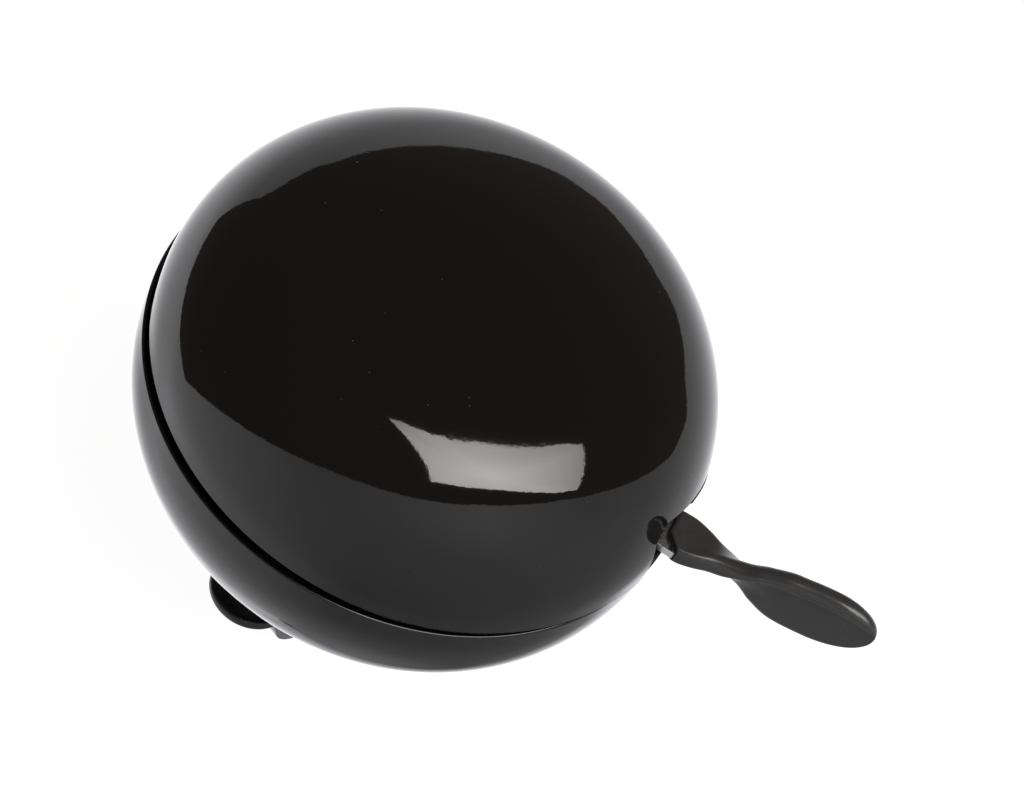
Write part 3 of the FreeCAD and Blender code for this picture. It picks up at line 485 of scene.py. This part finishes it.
def make_thumb_lever():
    """Moulded lever: a bar cut back on the near side of its inner end, turned upright into a pad."""
    # The first rings stand close together, for the rounding of the inner end.
    shares = [0.0, 0.02, 0.06, 0.12, 0.2] + [0.3 + 0.1 * step for step in range(7)]
    rings = [root_ring(share) for share in shares]
    stops = spread(SQUARE_ON, TIP_START, 0.4)[1:]
    tip_rings = 28
    for step in range(tip_rings):
        stops.append(TIP_START + TIP_LENGTH * math.sin(math.pi / 2 * step / tip_rings))
    for along in stops:
        rings.append([(along, *lever_point(along, index, 0.0)) for index in range(SECTION_POINTS)])
    points = [lever_frame(point) for ring in rings for point in ring]
    faces = ring_faces(len(rings), SECTION_POINTS)
    faces.append(list(range(SECTION_POINTS)))
    end = TIP_START + TIP_LENGTH
    _, _, middle, _, _ = station_at(end)
    base, tip = (len(rings) - 1) * SECTION_POINTS, len(points)
    points.append(lever_frame((end, 0.0, UPPER_RIM + middle)))
    for index in range(SECTION_POINTS):
        faces.append([base + index, base + (index + 1) % SECTION_POINTS, tip])
    piece = new_object("thumb_lever_moulding", mesh_from("thumb_lever_moulding", points, faces))
    outward_faces(piece)
    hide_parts("thumb_lever")
    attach(piece, "lever")
    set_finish(piece, "lever_plastic")
    return piece


# ---------------------------------------------------------------- return spring

def tube(name, line_mm, radius_mm, sides=12):
    """Round wire along points of the lever's frame, with closed ends."""
    line = [lever_frame(point) for point in line_mm]
    points = []
    side = None
    for index, point in enumerate(line):
        ahead = line[min(index + 1, len(line) - 1)] - line[max(index - 1, 0)]
        ahead.normalize()
        if side is None:
            side = ahead.orthogonal().normalized()
        side = (side - ahead * side.dot(ahead)).normalized()
        other = ahead.cross(side)
        for k in range(sides):
            angle = 2 * math.pi * k / sides
            points.append(point + (side * math.cos(angle) + other * math.sin(angle)) * radius_mm * MM)
    faces = ring_faces(len(line), sides)
    faces.append(list(range(sides)))
    faces.append(list(reversed(range((len(line) - 1) * sides, len(line) * sides))))
    piece = new_object(name, mesh_from(name, points, faces))
    outward_faces(piece)
    return piece


def make_return_spring():
    """The coil and its fixed leg stay on the post; the hooked leg is a piece that follows the arm."""
    wire, coil, pitch, turns = 0.35, 2.65, 0.8, 2.75
    base = ARM_TOP + 0.1 + wire

    def on_coil(angle, height):
        return (LEVER_PIVOT + coil * math.cos(angle), coil * math.sin(angle), height)

    start = math.pi / 2
    line = [on_coil(start + 2 * math.pi * t, base + pitch * t) for t in spread(0, turns, 1 / 48)]
    top = base + pitch * turns
    line += [(LEVER_PIVOT + coil, along, top) for along in (0.0, 0.5, 2.0, 4.0, 6.0, 7.15)]
    fixed = tube("return_spring_coil", line, wire)
    # A flat piece of turn lies in the first coil, so that the leg can turn about the stud unseen.
    hook = [on_coil(start + angle, base) for angle in spread(math.radians(40), 0.0, math.radians(4))]
    # From the coil the leg runs straight out, eases down and hooks over the arm's edge.
    hook += [on_coil(start, base), (LEVER_PIVOT + 2.5, coil, base), (24.6, coil, base),
             (25.2, coil - 0.08, base), (25.7, coil - 0.22, base - 0.05), (25.95, coil - 0.33, base - 0.25),
             (26.0, coil - 0.35, base - 0.6), (26.0, coil - 0.35, ARM_BASE + 0.2)]
    moving = tube("return_spring_hook", hook, wire)
    for piece, body in ((fixed, "clamp"), (moving, "lever")):
        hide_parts("return_spring")
        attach(piece, body)
        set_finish(piece, "spring_steel")
    return fixed, moving


# ---------------------------------------------------------------- materials

class Nodes:
    """Short ways to build one material's node tree."""

    def __init__(self, name):
        self.material = bpy.data.materials.new(name)
        self.material.use_nodes = True
        self.tree = self.material.node_tree
        self.shader = self.tree.nodes["Principled BSDF"]
        place = self.tree.nodes.new("ShaderNodeTexCoord")
        self.place = place.outputs["Object"]

    def link(self, source, target):
        self.tree.links.new(source, target)

    def noise(self, scale, detail=2.0, roughness=0.5, stretch=None):
        """Noise over the object's own space; scale is in cycles per metre."""
        node = self.tree.nodes.new("ShaderNodeTexNoise")
        node.inputs["Scale"].default_value = scale
        node.inputs["Detail"].default_value = detail
        node.inputs["Roughness"].default_value = roughness
        source = self.place
        if stretch:
            mapping = self.tree.nodes.new("ShaderNodeMapping")
            mapping.inputs["Scale"].default_value = stretch
            self.link(source, mapping.inputs["Vector"])
            source = mapping.outputs["Vector"]
        self.link(source, node.inputs["Vector"])
        return node.outputs["Fac"]

    def specks(self, scale, size):
        """Round specks: 1 at a speck, 0 elsewhere."""
        node = self.tree.nodes.new("ShaderNodeTexVoronoi")
        node.inputs["Scale"].default_value = scale
        node.inputs["Randomness"].default_value = 1.0
        self.link(self.place, node.inputs["Vector"])
        return self.range(node.outputs["Distance"], size, size * 0.4, 0.0, 1.0)

    def range(self, source, low, high, out_low, out_high):
        """The source mapped from low..high to out_low..out_high, held at the ends."""
        node = self.tree.nodes.new("ShaderNodeMapRange")
        for name, number in (("From Min", low), ("From Max", high), ("To Min", out_low),
                             ("To Max", out_high)):
            node.inputs[name].default_value = number
        self.link(source, node.inputs["Value"])
        return node.outputs["Result"]

    def math(self, operation, first, second):
        """One operation on two inputs, each a number or a socket."""
        node = self.tree.nodes.new("ShaderNodeMath")
        node.operation = operation
        for socket, value in zip(node.inputs, (first, second)):
            if isinstance(value, (int, float)):
                socket.default_value = value
            else:
                self.link(value, socket)
        return node.outputs["Value"]

    def mix(self, factor, first, second):
        """Blend of two colours."""
        node = self.tree.nodes.new("ShaderNodeMix")
        node.data_type = "RGBA"
        self.link(factor, node.inputs["Factor"])
        node.inputs["A"].default_value = (*first, 1.0)
        node.inputs["B"].default_value = (*second, 1.0)
        return node.outputs["Result"]

    def bump(self, height, distance, under=None):
        """Relief of a height field, in metres, over another relief."""
        node = self.tree.nodes.new("ShaderNodeBump")
        node.inputs["Strength"].default_value = 1.0
        node.inputs["Distance"].default_value = distance
        self.link(height, node.inputs["Height"])
        if under is not None:
            self.link(under, node.inputs["Normal"])
        return node.outputs["Normal"]

    def soft_edges(self, radius):
        """Normal that rounds the mesh's sharp edges."""
        node = self.tree.nodes.new("ShaderNodeBevel")
        node.samples = 4
        node.inputs["Radius"].default_value = radius
        return node.outputs["Normal"]

    def set(self, **values):
        """Sets or links sockets of the shader; an underscore stands for a space."""
        for name, value in values.items():
            socket = self.shader.inputs[name.replace("_", " ")]
            if isinstance(value, (int, float, tuple)):
                socket.default_value = value
            else:
                self.link(value, socket)


def gong_enamel():
    """Gloss black baked enamel: faint orange peel in two sizes, and patches of fine dust."""
    n = Nodes("gong_enamel")
    dust = n.specks(420.0, 0.055)
    patchy = n.range(n.noise(60.0), 0.45, 0.7, 0.0, 1.0)
    dust = n.math("MULTIPLY", dust, patchy)
    n.set(Base_Color=n.mix(dust, (0.0036, 0.0034, 0.0033), (0.11, 0.11, 0.11)))
    n.set(Roughness=n.range(n.noise(90.0, 4.0), 0.3, 0.7, 0.03, 0.055))
    peel = n.bump(n.noise(1700.0, 1.0), 2.6e-6, n.bump(n.noise(650.0), 2.4e-6))
    n.set(Normal=n.bump(dust, 4e-6, peel), IOR=1.5)
    return n.material


def clamp_enamel():
    """Satin black enamel, worn paler in patches."""
    n = Nodes("clamp_enamel")
    wear = n.range(n.noise(260.0, 5.0), 0.56, 0.72, 0.0, 0.6)
    n.set(Base_Color=n.mix(wear, (0.006, 0.006, 0.0062), (0.03, 0.03, 0.03)))
    n.set(Roughness=n.range(n.noise(400.0, 3.0), 0.3, 0.7, 0.22, 0.36))
    n.set(Normal=n.bump(n.noise(1100.0, 3.0), 6e-6, n.soft_edges(0.00025)), IOR=1.5)
    return n.material


def lever_plastic():
    """Moulded black plastic, worn satin, with a cloudy bloom, a fine spark texture and slight sink."""
    n = Nodes("lever_plastic")
    cloud = n.noise(300.0, 4.0)
    n.set(Base_Color=n.mix(cloud, (0.025, 0.025, 0.0255), (0.038, 0.038, 0.0385)))
    n.set(Roughness=n.range(n.noise(500.0, 3.0), 0.3, 0.7, 0.24, 0.34))
    fine = n.bump(n.noise(2600.0, 3.0), 3e-6)
    n.set(Normal=n.bump(n.noise(240.0, 1.0), 1.2e-5, fine), IOR=1.49)
    return n.material


def metal(name, dark, light, low, high, brush=(1.0, 1.0, 1.0), brush_depth=4e-6):
    """Metal with a cloudy tone from dark to light and fine marks that roughen it from low to high."""
    n = Nodes(name)
    cloud = n.noise(180.0, 5.0, 0.6)
    n.set(Base_Color=n.mix(cloud, dark, light), Metallic=1.0)
    marks = n.noise(1500.0, 3.0, 0.6, brush)
    n.set(Roughness=n.range(marks, 0.3, 0.7, low, high))
    n.set(Normal=n.bump(marks, brush_depth, n.soft_edges(0.00012)))
    return n.material


def zinc_steel():
    """Bright zinc plate with long fine marks."""
    return metal("zinc_steel", (0.66, 0.69, 0.72), (0.84, 0.86, 0.88), 0.2, 0.36, (1.0, 1.0, 0.25))


def bush_brass():
    """Turned brass."""
    return metal("bush_brass", (0.5, 0.35, 0.13), (0.68, 0.5, 0.22), 0.2, 0.32, (0.3, 0.3, 3.0))


def spring_steel():
    """Dark hardened steel."""
    return metal("spring_steel", (0.16, 0.16, 0.17), (0.3, 0.3, 0.31), 0.25, 0.4, brush_depth=2e-6)


def black_rubber():
    """Matte rubber with a fine moulded grain and pale bloom."""
    n = Nodes("black_rubber")
    n.set(Base_Color=n.mix(n.noise(350.0, 5.0), (0.012, 0.012, 0.012), (0.035, 0.034, 0.033)))
    n.set(Roughness=n.range(n.noise(600.0), 0.3, 0.7, 0.6, 0.8))
    n.set(Normal=n.bump(n.noise(2200.0, 3.0), 1.5e-5, n.soft_edges(0.0002)), IOR=1.5)
    return n.material


def give_materials(pieces):
    """Every shown object takes the material of its record slot."""
    made = {maker.__name__: maker() for maker in (gong_enamel, clamp_enamel, lever_plastic, zinc_steel,
                                                  bush_brass, spring_steel, black_rubber)}
    slots = {row["node"]: row["material_slot"] for row in frame["record"]["subparts"]}
    for name, node in frame["nodes"].items():
        node.data.materials.clear()
        node.data.materials.append(made[slots[name]])
    for piece in pieces:
        piece.data.materials.append(made[piece["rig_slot"]])


# ---------------------------------------------------------------- studio

BELL_MIDDLE = Vector((0, 0, UPPER_RIM + 8.0)) * MM
FLOOR_HEIGHT = cad_low.z - 0.6 * MM


def toward(azimuth, elevation):
    """Unit vector at an azimuth from the lever's direction and an elevation, both in degrees."""
    azimuth, elevation = math.radians(azimuth) + LEVER_ANGLE, math.radians(elevation)
    return Vector((math.cos(azimuth) * math.cos(elevation), math.sin(azimuth) * math.cos(elevation),
                   math.sin(elevation)))


def glowing(name, color):
    """Emission whose strength is the mesh's own glow attribute."""
    material = bpy.data.materials.new(name)
    material.use_nodes = True
    tree = material.node_tree
    tree.nodes.remove(tree.nodes["Principled BSDF"])
    light = tree.nodes.new("ShaderNodeEmission")
    light.inputs["Color"].default_value = (*color, 1.0)
    level = tree.nodes.new("ShaderNodeAttribute")
    level.attribute_name = "glow"
    tree.links.new(level.outputs["Fac"], light.inputs["Strength"])
    tree.links.new(light.outputs["Emission"], tree.nodes["Material Output"].inputs["Surface"])
    return material


def lit_card(name, points, faces, levels, color):
    """Studio card seen only in reflections and as light, as bright at each point as its level says."""
    mesh = mesh_from(name, points, faces, smooth=False)
    attribute = mesh.attributes.new("glow", "FLOAT", "POINT")
    attribute.data.foreach_set("value", levels)
    mesh.materials.append(glowing(f"{name}_light", color))
    piece = new_object(name, mesh)
    piece.visible_camera = False
    piece.visible_shadow = False
    return piece


def between(knots, number):
    """Piecewise linear curve through (place, value) knots, level beyond its ends."""
    if number <= knots[0][0]:
        return knots[0][1]
    for (low, start), (high, end) in zip(knots, knots[1:]):
        if number <= high:
            return start + (end - start) * (number - low) / (high - low)
    return knots[-1][1]


# Top edge of the pale sweep round the bell: azimuth from the lever and elevation, in degrees.
SWEEP_EDGE = [(-180, -26), (-166, -29), (-156, -21), (-133, 0), (-118, 13), (-104, 23), (-90, 29.5),
              (-76, 34), (-60, 37.5), (-42, 39.5), (-25, 38), (-9, 34), (6, 26), (20, 15), (33, 5), (44, 3),
              (52, 9), (72, 8), (84, 3), (91, 3), (102, 10), (114, 15), (128, 20), (143, 13), (147, 8),
              (151, -12), (169, -21), (180, -26)]
# Its brightness: for each elevation, (azimuth, brightness).  It is bright behind, and dark close in front of
# and under the bell, where the bell's shadow on the table is painted in as a dimmer glow.
SWEEP_LEVELS = [
    (-80, [(-180, 0.95), (-100, 0.75), (-69, 0.55), (0, 0.5), (50, 0.42), (75, 0.8), (100, 0.85), (120, 1.3),
           (150, 1.1), (180, 0.95)]),
    (-68, [(-180, 1.0), (-100, 0.6), (-69, 0.5), (-17, 0.33), (31, 0.19), (50, 0.14), (62, 0.5), (95, 1.2),
           (120, 1.65), (135, 1.25), (170, 1.0)]),
    (-50, [(-180, 1.15), (-140, 0.85), (-100, 0.6), (-75, 0.34), (15, 0.3), (38, 0.5), (50, 1.3), (62, 1.5),
           (120, 1.5), (155, 0.8), (165, 0.85), (180, 1.15)]),
    (-22, [(-180, 1.1), (-140, 1.0), (-100, 0.64), (-80, 0.54), (10, 0.5), (40, 0.85), (75, 1.35),
           (100, 1.15), (180, 1.2)]),
    (0, [(-140, 0.95), (-100, 0.66), (-75, 0.6), (-20, 0.7), (20, 0.6), (60, 0.8), (100, 0.75),
         (120, 0.75), (150, 0.6)]),
    (28, [(-130, 0.6), (-100, 0.58), (-40, 1.0), (0, 0.62), (60, 0.7), (130, 0.62)]),
]
# The softbox's outline and middle: azimuth, elevation and brightness.
SOFTBOX_OUTLINE = [(-106, 74.4, 4.0), (-89, 76.4, 5.6), (-59, 76.4, 7.0), (-32, 74.1, 7.2), (-15, 70.8, 7.5),
                   (-3, 66, 7.0), (7, 60.9, 6.2), (18.5, 53.1, 5.0), (21.5, 49.3, 4.7), (10, 42.6, 4.6),
                   (1.5, 36.8, 4.8), (-1, 35.4, 5.2), (-6.7, 38, 7.0), (-30, 48.0, 9.5), (-64.5, 48.8, 8.0),
                   (-67, 58, 8.0), (-83, 70, 6.5)]
SOFTBOX_MIDDLE = (-30, 57, 11.0)


def make_sweep():
    """Bright table and backdrop as a bowl round the bell, seen only by reflections, with the bell's shadow
    on the table painted in as a dimmer glow in front and underneath.
    """
    radius = 3.0
    rows, columns = 30, 240
    lowest = -89
    points, levels, faces = [], [], []
    for column in range(columns + 1):
        azimuth = -180 + 360 * column / columns
        top = between(SWEEP_EDGE, azimuth)
        by_height = [(height, between(line, azimuth)) for height, line in SWEEP_LEVELS]
        for row in range(rows + 1):
            elevation = lowest + (top - lowest) * row / rows
            points.append(BELL_MIDDLE + toward(azimuth, elevation) * radius)
            # The low levels in front and below are a painted shadow of the bell on the table.
            levels.append(between(by_height, elevation))
    for column in range(columns):
        for row in range(rows):
            corner = column * (rows + 1) + row
            faces.append([corner, corner + rows + 1, corner + rows + 2, corner + 1])
    lit_card("sweep", points, faces, levels, (0.97, 0.97, 1.0))


def make_softbox():
    """Large soft light above the viewer, brighter towards its middle, as a fan of triangles."""
    distance = 1.6
    azimuth, elevation, level = SOFTBOX_MIDDLE
    middle = toward(azimuth, elevation)
    points, levels = [BELL_MIDDLE + middle * distance], [level]
    for azimuth, elevation, level in SOFTBOX_OUTLINE:
        direction = toward(azimuth, elevation)
        points.append(BELL_MIDDLE + direction * (distance / direction.dot(middle)))
        levels.append(level)
    count = len(SOFTBOX_OUTLINE)
    faces = [[0, 1 + index, 1 + (index + 1) % count] for index in range(count)]
    lit_card("softbox", points, faces, levels, (1.0, 0.97, 0.93))


def make_floor():
    """Plain pale floor under the bell and a white surround behind it, which only the camera sees."""
    half, surround_radius = 2.5, 12.0
    corners = [(-half, -half, FLOOR_HEIGHT), (half, -half, FLOOR_HEIGHT), (half, half, FLOOR_HEIGHT),
               (-half, half, FLOOR_HEIGHT)]
    mesh = mesh_from("floor", corners, [[0, 1, 2, 3]], smooth=False)
    material = bpy.data.materials.new("pale_floor")
    material.use_nodes = True
    shader = material.node_tree.nodes["Principled BSDF"]
    shader.inputs["Base Color"].default_value = (0.2, 0.2, 0.2, 1.0)
    shader.inputs["Roughness"].default_value = 0.9
    shader.inputs["Specular IOR Level"].default_value = 0.0
    shader.inputs["Emission Color"].default_value = (1.0, 1.0, 1.0, 1.0)
    shader.inputs["Emission Strength"].default_value = 0.95
    mesh.materials.append(material)
    floor = new_object("floor", mesh)

    ball = bmesh.new()
    bmesh.ops.create_icosphere(ball, subdivisions=4, radius=surround_radius)
    mesh = bpy.data.meshes.new("surround")
    ball.to_mesh(mesh)
    ball.free()
    mesh.attributes.new("glow", "FLOAT", "POINT").data.foreach_set("value", [1.0] * len(mesh.vertices))
    mesh.materials.append(glowing("surround_white", (1.0, 1.0, 1.0)))
    surround = new_object("surround", mesh)
    for piece in (floor, surround):
        piece.visible_glossy = False
        piece.visible_diffuse = False
        piece.visible_transmission = False
        piece.visible_shadow = False


def make_studio():
    """Floor, sweep and softbox in a dim warm room."""
    make_floor()
    make_sweep()
    make_softbox()
    world = bpy.data.worlds.new("studio")
    world.use_nodes = True
    background = world.node_tree.nodes["Background"]
    background.inputs["Color"].default_value = (0.115, 0.097, 0.085, 1.0)
    background.inputs["Strength"].default_value = 1.0
    bpy.context.scene.world = world
    bpy.context.scene.view_settings.view_transform = "Standard"


def make_camera():
    """Viewing direction and distance in the lever's frame, then turned into the row frame."""
    distance, elevation, roll = 0.5, math.radians(49.541), math.radians(31.664)
    lens, sensor = 127.765, 36.0
    # How far the middle of the upper gong's rim lies right of and above the middle of the view.
    rim_right, rim_above = -11.194885 * MM, 1.657447 * MM
    right = Vector((1, 0, 0))
    up = Vector((0, math.sin(elevation), math.cos(elevation)))
    back = Vector((0, -math.cos(elevation), math.sin(elevation)))
    across = right * math.cos(roll) + up * math.sin(roll)
    upward = up * math.cos(roll) - right * math.sin(roll)
    place = back * distance - across * rim_right - upward * rim_above
    matrix = Matrix((across, upward, back)).transposed().to_4x4()
    matrix.translation = place
    turned = Matrix.Rotation(LEVER_ANGLE, 4, "Z")
    lifted = Matrix.Translation((0, 0, UPPER_RIM * MM))
    data = bpy.data.cameras.new("camera")
    data.lens, data.sensor_width = lens, sensor
    data.clip_start, data.clip_end = 0.01, 50.0
    camera = new_object("camera", data)
    camera.matrix_world = lifted @ turned @ matrix
    bpy.context.scene.camera = camera


spring_pieces = make_return_spring()
give_materials([make_upper_gong(), make_lower_gong(), make_thumb_lever(), *spring_pieces])
make_studio()
make_camera()
